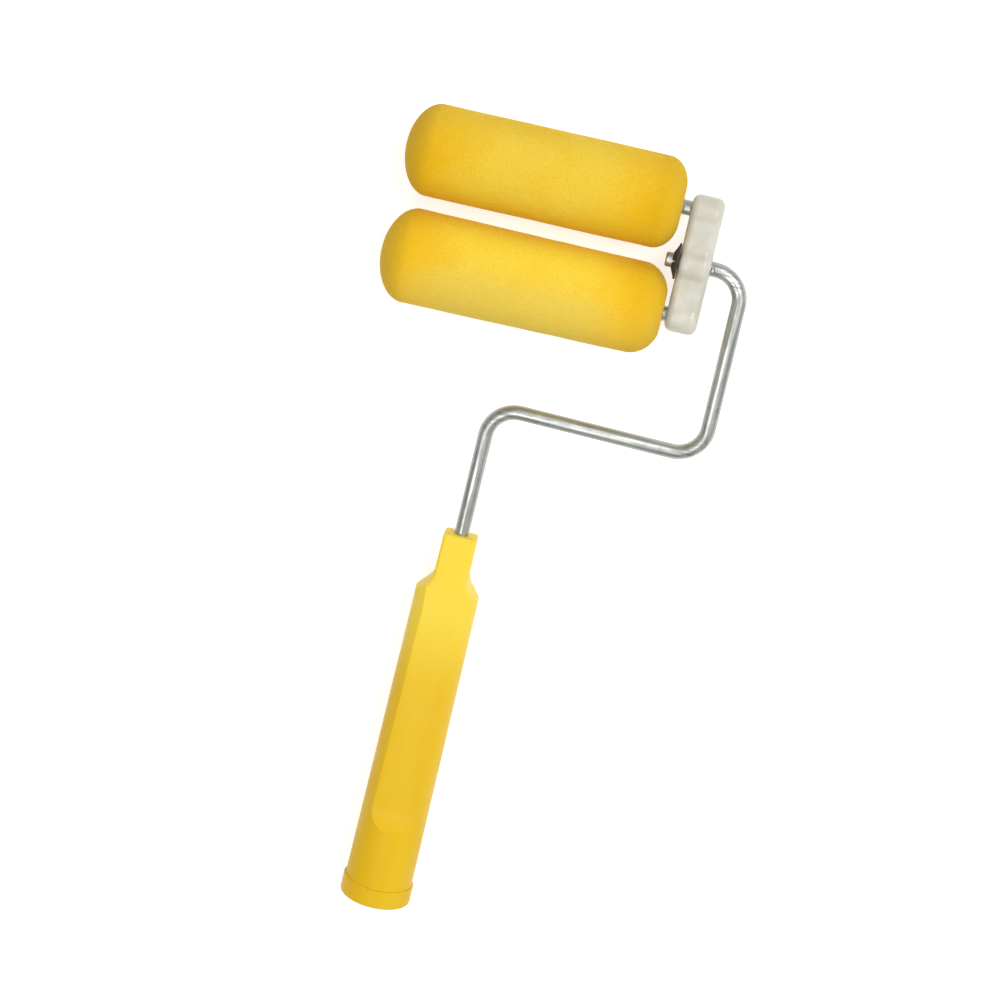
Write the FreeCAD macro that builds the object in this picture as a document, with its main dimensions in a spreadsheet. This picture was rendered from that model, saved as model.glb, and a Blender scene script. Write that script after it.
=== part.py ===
import FreeCAD, Part
import math
import os
import re

import Sketcher

# Twin foam paint roller: two foam covers side by side on a rocker bar, the rocker hung
# on the end of a bent steel wire, and the wire held in a moulded plastic handle.
# The roller lies on a floor: +Z is up, X runs along the covers and +Y points from the
# handle towards them.  The origin is on the floor, under the middle of the whole part.

# Driving dimensions: millimetres, and degrees where the note says so.
DIMENSIONS = {
    "rod_radius": (3.0, "zinc plated frame wire and both axles"),
    "bend_radius": (12.2, "centre line radius of the three wire bends"),
    "pivot_reach": (65.5, "handle axis to the middle of the rocker"),
    "run_drop": (76.0, "pivot axis down to the cross run of the wire"),
    "neck_drop": (131.7, "pivot axis down to the mouth of the handle neck"),
    "rod_depth": (48.0, "length of wire inside the handle"),
    "leg_reach": (20.8, "middle of the rocker out to the outer leg"),
    "tip_reach": (11.9, "middle of the rocker to the wire tip"),
    "lean": (1.1, "degrees that the outer leg is out of line with the handle"),
    "tip_chamfer": (0.6, "chamfer on the wire tip and the axle ends"),
    "ear_length": (1.5, "crimped ear, along the wire"),
    "ear_width": (2.4, "crimped ear, across the wire"),
    "ear_height": (0.8, "how far a crimped ear stands out of the wire"),
    "ear_round": (0.5, "rounded edges of a crimped ear"),
    "ear_play": (0.2, "gap between a crimped ear and a face beside it"),
    "rocker_thick": (13.0, "rocker, along the axles"),
    "lobe_radius": (6.4, "rounded ends of the rocker, round each axle"),
    "hub_radius": (7.8, "middle lobe of the rocker, round the pivot"),
    "waist_half": (5.6, "half height of the rocker between its lobes"),
    "waist_blend": (4.0, "blend radius between a waist and a lobe"),
    "rocker_round": (3.3, "rounded rim of the rocker"),
    "axle_spacing": (43.4, "distance between the two axles"),
    "axle_seat": (10.0, "depth of an axle in the rocker"),
    "pivot_clearance": (0.06, "radial running clearance on the wire"),
    "washer_radius": (5.2, "thrust washer let into the rocker"),
    "washer_thick": (0.9, "thrust washer"),
    "washer_play": (0.15, "gap round the thrust washer"),
    "nut_radius": (7.3, "outside of the push nut"),
    "nut_height": (2.5, "height of the dished push nut"),
    "nut_sheet": (0.8, "sheet thickness of the push nut"),
    "nut_rim": (0.6, "flat rim of the push nut"),
    "nut_play": (0.2, "end play between the push nut and the rocker"),
    "nut_slot": (1.0, "width of the slots between the teeth"),
    "nut_slot_start": (2.0, "radius at which the slots between the teeth start"),
    "nut_slot_end": (5.2, "radius at which those slots end"),
    "nut_teeth": (6.0, "number of teeth on the push nut"),
    "foam_radius": (19.0, "foam cover"),
    "far_length": (113.0, "far foam cover, end to end"),
    "near_length": (115.6, "near foam cover, end to end"),
    "dome_radius": (22.5, "ball radius of the domed end"),
    "dome_edge": (2.0, "rounded edge between dome and cylinder"),
    "foam_round": (10.0, "rounded edge of the rocker end"),
    "far_gap": (3.4, "far cover to the rocker"),
    "near_gap": (2.0, "near cover to the rocker"),
    "core_radius": (8.5, "outside of the core tube"),
    "core_bore": (7.0, "inside of the core tube"),
    "core_recess": (1.0, "core tube set back inside the foam"),
    "core_length": (98.0, "core tube"),
    "bush_length": (9.0, "each bush inside the core tube"),
    "bush_clearance": (0.05, "radial running clearance on the axle"),
    "outer_bush_inset": (12.0, "outer bush back from the closed end of the core"),
    "clip_radius": (5.6, "retaining clip at the axle end"),
    "clip_thick": (0.8, "retaining clip"),
    "clip_play": (0.4, "end play between a clip and its bush"),
    "axle_tail": (2.2, "axle past its clip"),
    "plug_length": (3.0, "plug in the closed end of the core"),
    "neck_width": (13.9, "handle neck, across"),
    "neck_slope": (12.0, "degrees that the neck thins towards its mouth"),
    "neck_round": (1.5, "rounded corners of the neck"),
    "mouth_round": (0.7, "rounded rim of the neck's mouth"),
    "neck_length": (17.9, "straight part of the neck"),
    "shoulder_drop": (7.7, "height of the hollowed shoulder"),
    "shoulder_radius": (13.35, "handle at the top of its grip"),
    "shoulder_hollow": (12.0, "radius of the hollowed shoulder"),
    "scoop_blend": (8.0, "blend between a shoulder and the neck's side"),
    "bow_radius": (110.0, "bend from the flats into the thinner neck"),
    "bow_start": (9.0, "start of that bend, below the shoulder"),
    "grip_length": (131.6, "grip, from the shoulder to the end cap"),
    "grip_radius": (14.4, "handle at the bottom of its grip"),
    "flat_height": (10.8, "flat faces of the grip from its axis"),
    "flat_length": (100.6, "flat faces, from the shoulder"),
    "flat_ramp": (7.0, "length over which a flat runs out"),
    "ramp_blend": (14.0, "rounding where the flats run into the ramps"),
    "ramp_rise": (4.9, "rise of that run-out"),
    "grip_bore": (9.3, "hollow inside the grip"),
    "grip_bore_depth": (70.0, "depth of that hollow"),
    "cap_radius": (15.2, "end cap"),
    "cap_length": (8.1, "end cap below the grip"),
    "cap_round": (1.0, "rounded edge of the end cap"),
    "lip_round": (0.33, "rounded edges of the collar and of the socket's lip"),
    "socket_radius": (8.0, "pole socket"),
    "spigot_length": (42.0, "part of the end cap inside the grip"),
    "cut_through": (60.0, "length of the cuts that go right through a piece"),
}

# Slack in the tests that pick edges, the shortest long edge, and one full turn.
SNUG, LOOSE, LONG = 0.01, 0.05, 1.0
FULL_TURN = 360

SHEET_NAMES = {alias: f"dims.{alias}" for alias in DIMENSIONS}

doc = FreeCAD.newDocument("twin_roller")
sheet = doc.addObject("Spreadsheet::Sheet", "dims")
for row, (alias, (value, note)) in enumerate(DIMENSIONS.items(), start=1):
    sheet.set(f"A{row}", note)
    sheet.set(f"B{row}", str(value))
    sheet.setAlias(f"B{row}", alias)
doc.recompute()


def d(expression):
    """Write an expression on the sheet's aliases in the form other objects need."""
    return re.sub("[a-z_]+", lambda m: SHEET_NAMES.get(m[0], m[0]), expression)


def number(expression):
    """Value of an expression on the sheet's aliases."""
    value = sheet.evalExpression(d(expression))
    return float(getattr(value, "Value", value))


def origin_part(body, role):
    """A plane or an axis of a body's own origin."""
    return next(f for f in body.Origin.OriginFeatures if f.Role == role)


def new_body(label):
    body = doc.addObject("PartDesign::Body", label)
    body.Label = label
    return body


def new_sketch(body, name, role, height="0"):
    """Empty sketch on a plane of the body, or at a height above that plane."""
    sketch = body.newObject("Sketcher::SketchObject", name)
    sketch.AttachmentSupport = (origin_part(body, role), "")
    sketch.MapMode = "FlatFace"
    if height != "0":
        sketch.setExpression("AttachmentOffset.Base.z", d(height))
    return sketch


def pin_point(sketch, edge, end, x, y):
    """Hold one end of an edge at the place that two expressions give."""
    for kind, axis, text in (("DistanceX", -2, x), ("DistanceY", -1, y)):
        if text == "0":
            sketch.addConstraint(Sketcher.Constraint("PointOnObject", edge, end, axis))
            continue
        pin = Sketcher.Constraint(kind, -1, 1, edge, end, number(text))
        sketch.setExpression(f"Constraints[{sketch.addConstraint(pin)}]", d(text))


def arc_between(start, end, radius, turn):
    """Short arc between two points; turn is +1 when it runs anticlockwise."""
    chord = end - start
    middle = (start + end) * 0.5
    left = FreeCAD.Vector(-chord.y, chord.x, 0).normalize()
    height = math.sqrt(max(radius**2 - (chord.Length / 2) ** 2, 0))
    centre = middle + left * height * turn
    middle_of_arc = centre - left * radius * turn
    return Part.Arc(start, middle_of_arc, end)


def outline(sketch, points):
    """Closed outline through points given as (x, y) or, where the edge that leaves
    the point is an arc, (x, y, radius, turn).  Every value is bound to the sheet."""
    places = [FreeCAD.Vector(number(p[0]), number(p[1]), 0) for p in points]
    first = sketch.GeometryCount
    for i, point in enumerate(points):
        start, end = places[i], places[(i + 1) % len(points)]
        if len(point) == 2:
            edge = Part.LineSegment(start, end)
        else:
            edge = arc_between(start, end, number(point[2]), point[3])
        sketch.addGeometry(edge, False)
    starts = []
    for i, point in enumerate(points):
        # An arc is stored anticlockwise, so one that runs clockwise starts at its end.
        backwards = len(point) == 4 and point[3] < 0
        starts.append((2, 1) if backwards else (1, 2))
    for i, point in enumerate(points):
        edge, after = first + i, first + (i + 1) % len(points)
        next_start = starts[(i + 1) % len(points)][0]
        joint = Sketcher.Constraint("Coincident", edge, starts[i][1], after, next_start)
        sketch.addConstraint(joint)
        pin_point(sketch, edge, starts[i][0], point[0], point[1])
        if len(point) == 4:
            size = Sketcher.Constraint("Radius", edge, number(point[2]))
            place = sketch.addConstraint(size)
            sketch.setExpression(f"Constraints[{place}]", d(point[2]))
    return sketch


def circle(sketch, x, y, radius):
    """Circle whose centre and radius are bound to the sheet."""
    centre = FreeCAD.Vector(number(x), number(y), 0)
    normal = FreeCAD.Vector(0, 0, 1)
    edge = sketch.addGeometry(Part.Circle(centre, normal, number(radius)), False)
    pin_point(sketch, edge, 3, x, y)
    place = sketch.addConstraint(Sketcher.Constraint("Radius", edge, number(radius)))
    sketch.setExpression(f"Constraints[{place}]", d(radius))
    return sketch


def feature(body, kind, name, **values):
    """PartDesign feature with its plain properties set."""
    made = body.newObject(f"PartDesign::{kind}", name)
    for key, value in values.items():
        setattr(made, key, value)
    return made


def turned(body, name, points, axis="H_Axis", kind="Revolution"):
    """Outline in the body's XY plane, turned about the sketch's own axis."""
    sketch = outline(new_sketch(body, f"{name}_outline", "XY_Plane"), points)
    return feature(body, kind, name, Profile=sketch, ReferenceAxis=(sketch, [axis]))


def prism(body, name, sketch, length, kind="Pad"):
    """Sketch padded or pocketed by a length, half on each side of its plane."""
    made = feature(body, kind, name, Profile=sketch, Midplane=True)
    made.setExpression("Length", d(length))
    return made


def dress(body, name, kind, size, wanted):
    """Fillet or chamfer on the edges of the body's tip that a test picks."""
    doc.recompute()
    base = body.Tip
    edges = [f"Edge{i}" for i, e in enumerate(base.Shape.Edges, start=1) if wanted(e)]
    made = feature(body, kind, name, Base=(base, edges))
    made.setExpression("Radius" if kind == "Fillet" else "Size", d(size))
    return made


def is_ring(edge, axis, place, radius):
    """True for a full circle about an axis ("x" or "y") at a place along it."""
    if edge.Degenerated or not isinstance(edge.Curve, Part.Circle):
        return False
    curve = edge.Curve
    in_place = abs(getattr(curve.Center, axis) - place) < SNUG
    return in_place and abs(curve.Radius - radius) < SNUG


# Places that several pieces share, worked out from the sheet.
END_REACH = "(neck_drop + neck_length + shoulder_drop + grip_length + cap_length)"
PIVOT_X = "(rocker_thick / 2 + near_gap + near_length - leg_reach - rod_radius) / 2"
PIVOT_Y = (
    f"({END_REACH} * cos(lean) - (pivot_reach - cap_radius) * sin(lean)"
    " - axle_spacing / 2 - foam_radius) / 2"
)
# The covers and the end cap all rest on the floor, so the frame tips about the pivot.
TIP_REACH = f"({END_REACH} * cos(lean) - pivot_reach * sin(lean))"
TIP_ANGLE = (
    f"asin(foam_radius / sqrt({TIP_REACH} ^ 2 + cap_radius ^ 2))"
    f" - atan(cap_radius / {TIP_REACH})"
)
ROCKER_FACE = "(rocker_thick / 2)"


def place_on_frame(obj):
    """Frame pieces share one placement: handle axis on Y, level with the pivot at 0."""
    base = (
        f"vector({PIVOT_X} - pivot_reach * cos(lean) ;"
        f" {PIVOT_Y} + pivot_reach * sin(lean) * cos({TIP_ANGLE}) ;"
        f" foam_radius + pivot_reach * sin(lean) * sin({TIP_ANGLE}))"
    )
    turn = (
        f"rotation(vector(1 ; 0 ; 0) ; {TIP_ANGLE})"
        " * rotation(vector(0 ; 0 ; 1) ; 0 - lean)"
    )
    obj.setExpression("Placement", d(f"placement({base} ; {turn})"))


def place_on_rocker(obj, x="0", y="0"):
    """Pieces on the rocker: x and y from the middle of the rocker, at the pivot."""
    obj.setExpression("Placement.Base.x", d(f"{PIVOT_X} + {x}"))
    obj.setExpression("Placement.Base.y", d(f"{PIVOT_Y} + {y}"))
    obj.setExpression("Placement.Base.z", d("foam_radius"))


def on_leg(along, across):
    """Point in the frame's plane, from the pivot, along and across the pivot leg."""
    x = f"pivot_reach + {along} * cos(lean) - {across} * sin(lean)"
    y = f"{along} * sin(lean) + {across} * cos(lean)"
    return x, y


def crimped_ears(body, name, corners):
    """Two ears pinched out of a wire, above and below it, with rounded edges."""
    sketch = outline(new_sketch(body, f"{name}_outline", "XY_Plane"), corners)
    prism(body, name, sketch, "2 * (rod_radius + ear_height)")
    top = number("rod_radius + ear_height")
    return dress(
        body,
        f"{name}_round",
        "Fillet",
        "ear_round",
        lambda e: all(abs(abs(v.Z) - top) < SNUG for v in e.Vertexes),
    )


def frame_rod():
    """Bent wire: up out of the handle, across, up, and back through the rocker."""
    body = new_body("frame_rod")
    path = new_sketch(body, "route", "XY_Plane")
    corner = on_leg("leg_reach", "0")
    foot_x = f"({corner[0]} + ({corner[1]} + run_drop) * tan(lean))"
    corners = [
        ("0", "0 - neck_drop - rod_depth"),
        ("0", "0 - run_drop"),
        (foot_x, "0 - run_drop"),
        corner,
        on_leg("0 - tip_reach", "0"),
    ]
    places = [FreeCAD.Vector(number(x), number(y), 0) for x, y in corners]
    bend = number("bend_radius")
    runs = [(places[i], places[i + 1]) for i in range(len(places) - 1)]
    ways = [(end - start).normalize() for start, end in runs]
    cuts = []
    for before, after in zip(ways, ways[1:]):
        cuts.append(bend * math.tan(before.getAngle(after) / 2))
    for i, (start, end) in enumerate(runs):
        if i > 0:
            start = start + ways[i] * cuts[i - 1]
        if i < len(cuts):
            end = end - ways[i] * cuts[i]
        path.addGeometry(Part.LineSegment(start, end), False)
    for i, cut in enumerate(cuts):
        corner_at = places[i + 1]
        start, end = corner_at - ways[i] * cut, corner_at + ways[i + 1] * cut
        turn = 1 if ways[i].cross(ways[i + 1]).z > 0 else -1
        arc = path.addGeometry(arc_between(start, end, bend, turn), False)
        first, last = (1, 2) if turn > 0 else (2, 1)
        path.addConstraint(Sketcher.Constraint("Tangent", i, 2, arc, first))
        path.addConstraint(Sketcher.Constraint("Tangent", arc, last, i + 1, 1))
        size = path.addConstraint(Sketcher.Constraint("Radius", arc, bend))
        path.setExpression(f"Constraints[{size}]", d("bend_radius"))
    # Each corner is a point where two runs meet; it holds the runs in place.
    for i, (x, y) in enumerate(corners[1:4]):
        mark = path.addGeometry(Part.Point(places[i + 1]), True)
        path.addConstraint(Sketcher.Constraint("PointOnObject", mark, 1, i))
        path.addConstraint(Sketcher.Constraint("PointOnObject", mark, 1, i + 1))
        pin_point(path, mark, 1, x, y)
    pin_point(path, 0, 1, *corners[0])
    pin_point(path, 3, 2, *corners[4])
    section = new_sketch(body, "section", "XZ_Plane", "neck_drop + rod_depth")
    circle(section, "0", "0", "rod_radius")
    feature(body, "AdditivePipe", "wire", Profile=section, Spine=(path, []))
    tip = places[4]
    dress(
        body,
        "tip_chamfer",
        "Chamfer",
        "tip_chamfer",
        lambda e: e.CenterOfMass.distanceToPoint(tip) < SNUG,
    )
    start = f"({ROCKER_FACE} + ear_play)"
    ends = (start, f"({start} + ear_length)")
    half = "(ear_width / 2)"
    crimped_ears(
        body,
        "stop_ears",
        [
            on_leg(ends[0], f"(0 - {half})"),
            on_leg(ends[1], f"(0 - {half})"),
            on_leg(ends[1], half),
            on_leg(ends[0], half),
        ],
    )
    place_on_frame(body)
    return body


def handle_grip():
    """Moulded handle: a round grip with two flats that bend into a thinner neck, and
    shoulders scooped out of both sides."""
    body = new_body("handle_grip")
    top = "(0 - neck_drop)"
    arc_top = f"({top} - neck_length)"
    shoulder = f"({arc_top} - shoulder_drop)"
    bottom = f"({shoulder} - grip_length)"
    turned(
        body,
        "grip",
        [
            ("0", bottom),
            ("grip_radius", bottom),
            ("shoulder_radius", shoulder),
            ("shoulder_radius", top),
            ("0", top),
        ],
        axis="V_Axis",
    )
    beyond = f"({top} + shoulder_drop)"
    for name, way in (("left", "0 - "), ("right", "")):
        scoop = new_sketch(body, f"{name}_scoop", "XY_Plane")
        turn = 1 if name == "left" else -1
        outline(
            scoop,
            [
                (f"({way}shoulder_radius)", shoulder, "shoulder_hollow", turn),
                (f"({way}neck_width / 2)", arc_top),
                (f"({way}neck_width / 2)", beyond),
                (f"({way}2 * shoulder_radius)", beyond),
                (f"({way}2 * shoulder_radius)", shoulder),
            ],
        )
        prism(body, f"{name}_shoulder", scoop, "cut_through", "Pocket")
    side = new_sketch(body, "flat_side", "YZ_Plane")
    flat_end = f"({shoulder} - flat_length)"
    ramp_end = f"({flat_end} - flat_ramp)"
    above = "(flat_height + ramp_rise)"
    bow = f"({shoulder} - bow_start)"
    bow_end = f"({bow} + bow_radius * sin(neck_slope))"
    bow_height = "(flat_height - bow_radius * (1 - cos(neck_slope)))"
    mouth_height = f"({bow_height} - ({beyond} - {bow_end}) * tan(neck_slope))"
    outline(
        side,
        [
            (ramp_end, above),
            (flat_end, "flat_height"),
            (bow, "flat_height", "bow_radius", -1),
            (bow_end, bow_height),
            (beyond, mouth_height),
            (beyond, above),
        ],
    )
    flat = prism(body, "front_flat", side, "cut_through", "Pocket")
    doc.recompute()
    mirror = feature(body, "Mirrored", "back_flat", Originals=[flat])
    mirror.MirrorPlane = (origin_part(body, "XY_Plane"), [""])
    body.Tip = mirror
    low, high, corner_x = number(arc_top), number(top), number("neck_width / 2")
    flat_start = number(flat_end)
    dress(
        body,
        "ramp_blend",
        "Fillet",
        "ramp_blend",
        lambda e: all(abs(v.Y - flat_start) < SNUG for v in e.Vertexes)
        and e.BoundBox.YLength < SNUG,
    )
    dress(
        body,
        "scoop_blend",
        "Fillet",
        "scoop_blend",
        lambda e: all(abs(v.Y - low) < SNUG for v in e.Vertexes)
        and e.BoundBox.ZLength > LONG,
    )
    dress(
        body,
        "neck_round",
        "Fillet",
        "neck_round",
        lambda e: all(abs(abs(v.X) - corner_x) < SNUG for v in e.Vertexes)
        and e.BoundBox.XLength < SNUG
        and e.BoundBox.YLength > LONG
        and e.BoundBox.YMax > low,
    )
    dress(
        body,
        "mouth_round",
        "Fillet",
        "mouth_round",
        lambda e: e.BoundBox.YMin > high - SNUG,
    )
    hollow = new_sketch(body, "hollow_section", "XZ_Plane", f"0 - {bottom}")
    circle(hollow, "0", "0", "grip_bore")
    hollow_cut = feature(body, "Pocket", "hollow", Profile=hollow)
    hollow_cut.setExpression("Length", d("grip_bore_depth"))
    mouth = new_sketch(body, "wire_hole_section", "XZ_Plane", "neck_drop")
    circle(mouth, "0", "0", "rod_radius")
    wire_hole = feature(body, "Pocket", "wire_hole", Profile=mouth, Reversed=True)
    wire_hole.setExpression("Length", d("rod_depth"))
    place_on_frame(body)
    return body


def handle_end_cap():
    """End cap: a collar on the grip's end and a spigot inside it, bored for a pole."""
    body = new_body("handle_end_cap")
    end = f"(0 - {END_REACH})"
    seat = f"({end} + cap_length)"
    turned(
        body,
        "cap",
        [
            ("socket_radius", end),
            ("cap_radius", end),
            ("cap_radius", seat),
            ("grip_bore", seat),
            ("grip_bore", f"{seat} + spigot_length"),
            ("socket_radius", f"{seat} + spigot_length"),
        ],
        axis="V_Axis",
    )
    rim, lip = number("cap_radius"), number("socket_radius")
    low, high = number(end), number(seat)
    dress(
        body,
        "rim_round",
        "Fillet",
        "cap_round",
        lambda e: is_ring(e, "y", low, rim),
    )
    dress(
        body,
        "collar_round",
        "Fillet",
        "lip_round",
        lambda e: is_ring(e, "y", high, rim) or is_ring(e, "y", low, lip),
    )
    place_on_frame(body)
    return body


def pivot_push_nut():
    """Dished push nut whose teeth grip the wire and keep the rocker on."""
    body = new_body("pivot_push_nut")
    seat = f"(0 - {ROCKER_FACE} - nut_play)"
    rim = "(nut_radius - nut_rim)"
    rise = "(nut_height - nut_sheet)"
    turned(
        body,
        "dish",
        [
            (seat, "nut_radius"),
            (seat, rim),
            (f"{seat} - {rise}", "rod_radius"),
            (f"{seat} - nut_height", "rod_radius"),
            (f"{seat} - nut_sheet", rim),
            (f"{seat} - nut_sheet", "nut_radius"),
        ],
    )
    slots = new_sketch(body, "slot_section", "YZ_Plane")
    half = "(nut_slot / 2)"
    outline(
        slots,
        [
            (f"(0 - {half})", "nut_slot_start"),
            (half, "nut_slot_start"),
            (half, "nut_slot_end"),
            (f"(0 - {half})", "nut_slot_end"),
        ],
    )
    slot = prism(body, "slot", slots, "cut_through", "Pocket")
    doc.recompute()
    teeth = feature(body, "PolarPattern", "teeth", Originals=[slot])
    teeth.Axis = (origin_part(body, "X_Axis"), [""])
    teeth.Angle = FULL_TURN
    teeth.setExpression("Occurrences", d("nut_teeth"))
    body.Tip = teeth
    place_on_rocker(body)
    return body


def pivot_thrust_washer():
    """Thin washer let into the rocker, which the wire's ears bear on."""
    body = new_body("pivot_thrust_washer")
    inner = f"({ROCKER_FACE} - washer_thick)"
    bore = "(rod_radius + pivot_clearance)"
    turned(
        body,
        "washer",
        [
            (inner, bore),
            (ROCKER_FACE, bore),
            (ROCKER_FACE, "washer_radius"),
            (inner, "washer_radius"),
        ],
    )
    place_on_rocker(body)
    return body


def rocker_bar():
    """Plastic rocker: three lobes, a through bore for the wire, two axle seats."""
    body = new_body("rocker_bar")
    side = new_sketch(body, "side", "YZ_Plane")
    lobe, hub, waist = "lobe_radius", "hub_radius", "waist_half"
    half = "(axle_spacing / 2)"
    inner = f"({half} - sqrt({lobe} ^ 2 - {waist} ^ 2))"
    root = f"sqrt({hub} ^ 2 - {waist} ^ 2)"
    tip = f"({half} + {lobe})"
    outline(
        side,
        [
            (tip, "0", lobe, 1),
            (half, lobe, lobe, 1),
            (inner, waist),
            (root, waist, hub, 1),
            (f"(0 - {root})", waist),
            (f"(0 - {inner})", waist, lobe, 1),
            (f"(0 - {half})", lobe, lobe, 1),
            (f"(0 - {tip})", "0", lobe, 1),
            (f"(0 - {half})", f"(0 - {lobe})", lobe, 1),
            (f"(0 - {inner})", f"(0 - {waist})"),
            (f"(0 - {root})", f"(0 - {waist})", hub, 1),
            (root, f"(0 - {waist})"),
            (inner, f"(0 - {waist})", lobe, 1),
            (half, f"(0 - {lobe})", lobe, 1),
        ],
    )
    prism(body, "bar", side, "rocker_thick")
    joins = [(number(a), number(waist)) for a in (inner, root)]
    dress(
        body,
        "waist_blend",
        "Fillet",
        "waist_blend",
        lambda e: e.BoundBox.XLength > LONG
        and any(
            abs(abs(e.CenterOfMass.y) - y) < LOOSE
            and abs(abs(e.CenterOfMass.z) - z) < LOOSE
            for y, z in joins
        ),
    )
    face = number(ROCKER_FACE)
    dress(
        body,
        "rim_round",
        "Fillet",
        "rocker_round",
        lambda e: all(abs(abs(v.X) - face) < SNUG for v in e.Vertexes)
        and e.BoundBox.XLength < SNUG,
    )
    bores = new_sketch(body, "bore_section", "YZ_Plane")
    circle(bores, "0", "0", "rod_radius + pivot_clearance")
    prism(body, "pivot_bore", bores, "cut_through", "Pocket")
    recess = new_sketch(body, "recess_section", "YZ_Plane", ROCKER_FACE)
    circle(recess, "0", "0", "washer_radius + washer_play")
    pocket = feature(body, "Pocket", "washer_recess", Profile=recess)
    pocket.setExpression("Length", d("washer_thick"))
    seats = new_sketch(body, "seat_section", "YZ_Plane", f"(0 - {ROCKER_FACE})")
    circle(seats, half, "0", "rod_radius")
    circle(seats, f"(0 - {half})", "0", "rod_radius")
    seat_cut = feature(body, "Pocket", "axle_seats", Profile=seats, Reversed=True)
    seat_cut.setExpression("Length", d("axle_seat"))
    place_on_rocker(body)
    return body


def roller(side, y):
    """One roller and its axle; x is 0 at the cover's rocker end, and falls outwards."""
    gap, length = f"{side}_gap", f"{side}_length"
    x = f"(0 - {ROCKER_FACE} - {gap})"
    core_start = "(0 - core_recess)"
    core_end = f"({core_start} - core_length)"
    outer_bush = f"({core_end} + outer_bush_inset)"
    clip_start = f"({outer_bush} - clip_play)"
    bush_bore = "(rod_radius + bush_clearance)"

    axle = new_body(f"{side}_axle")
    axle_start = f"({gap} + axle_seat)"
    axle_end = f"({clip_start} - clip_thick - axle_tail)"
    turned(
        axle,
        "pin",
        [
            (axle_start, "0"),
            (axle_start, "rod_radius"),
            (axle_end, "rod_radius"),
            (axle_end, "0"),
        ],
    )
    radius = number("rod_radius")
    ends = [number(axle_start), number(axle_end)]
    dress(
        axle,
        "end_chamfers",
        "Chamfer",
        "tip_chamfer",
        lambda e: any(is_ring(e, "x", end, radius) for end in ends),
    )
    ear_start, ear_end, half = "ear_play", f"({gap} - ear_play)", "(ear_width / 2)"
    crimped_ears(
        axle,
        "stop_ears",
        [
            (ear_start, f"(0 - {half})"),
            (ear_end, f"(0 - {half})"),
            (ear_end, half),
            (ear_start, half),
        ],
    )

    clip = new_body(f"{side}_axle_clip")
    turned(
        clip,
        "ring",
        [
            (clip_start, "rod_radius"),
            (f"{clip_start} - clip_thick", "rod_radius"),
            (f"{clip_start} - clip_thick", "clip_radius"),
            (clip_start, "clip_radius"),
        ],
    )

    foam = new_body(f"{side}_foam_cover")
    rim = "(dome_radius - sqrt(dome_radius ^ 2 - foam_radius ^ 2))"
    turned(
        foam,
        "cover",
        [
            ("0", "core_radius"),
            (core_end, "core_radius"),
            (core_end, "0"),
            (f"0 - {length}", "0", "dome_radius", -1),
            (f"{rim} - {length}", "foam_radius"),
            ("0", "foam_radius"),
        ],
    )
    edge_at, wide = number(f"{rim} - {length}"), number("foam_radius")
    dress(
        foam,
        "dome_edge",
        "Fillet",
        "dome_edge",
        lambda e: is_ring(e, "x", edge_at, wide),
    )
    dress(
        foam,
        "rocker_end",
        "Fillet",
        "foam_round",
        lambda e: is_ring(e, "x", 0, wide),
    )

    core = new_body(f"{side}_core_tube")
    turned(
        core,
        "tube",
        [
            (core_start, "core_bore"),
            (core_start, "core_radius"),
            (core_end, "core_radius"),
            (core_end, "core_bore"),
        ],
    )

    bushes = []
    for name, start in (("inner", f"({core_start} - bush_length)"), ("outer", outer_bush)):
        bush = new_body(f"{side}_{name}_bush")
        turned(
            bush,
            "sleeve",
            [
                (start, bush_bore),
                (f"{start} + bush_length", bush_bore),
                (f"{start} + bush_length", "core_bore"),
                (start, "core_bore"),
            ],
        )
        bushes.append(bush)

    plug = new_body(f"{side}_core_plug")
    turned(
        plug,
        "disc",
        [
            (core_end, "0"),
            (f"{core_end} + plug_length", "0"),
            (f"{core_end} + plug_length", "core_bore"),
            (core_end, "core_bore"),
        ],
    )

    pieces = [axle, clip, foam, core, *bushes, plug]
    for piece in pieces:
        place_on_rocker(piece, x, y)
    return pieces


nodes = [
    frame_rod(),
    handle_grip(),
    handle_end_cap(),
    pivot_push_nut(),
    pivot_thrust_washer(),
    rocker_bar(),
    *roller("far", "axle_spacing / 2"),
    *roller("near", "(0 - axle_spacing / 2)"),
]
doc.recompute()

for obj in doc.Objects:
    faults = {"Invalid", "Error"} & set(obj.State)
    if faults:
        raise RuntimeError(f"{obj.Label}: {faults}")

os.makedirs("parts", exist_ok=True)
for node in nodes:
    shape = node.Shape
    if shape.isNull() or not shape.isValid() or len(shape.Solids) != 1:
        raise RuntimeError(f"{node.Label}: its shape is not one valid solid")
    shape.exportStep(f"parts/{node.Label}.step")
    print(f"{node.Label:22s} {shape.Volume / 1000:8.3f} cm3")

whole = Part.makeCompound([node.Shape for node in nodes]).optimalBoundingBox()
print(f"x {whole.XMin:.2f} {whole.XMax:.2f}  y {whole.YMin:.2f} {whole.YMax:.2f}")
print(f"z {whole.ZMin:.2f} {whole.ZMax:.2f}  tip angle {number(TIP_ANGLE):.3f} degrees")
print(f"pivot at {number(PIVOT_X):.3f} {number(PIVOT_Y):.3f} {number('foam_radius'):.3f}")
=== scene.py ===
import bpy
import math

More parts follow.
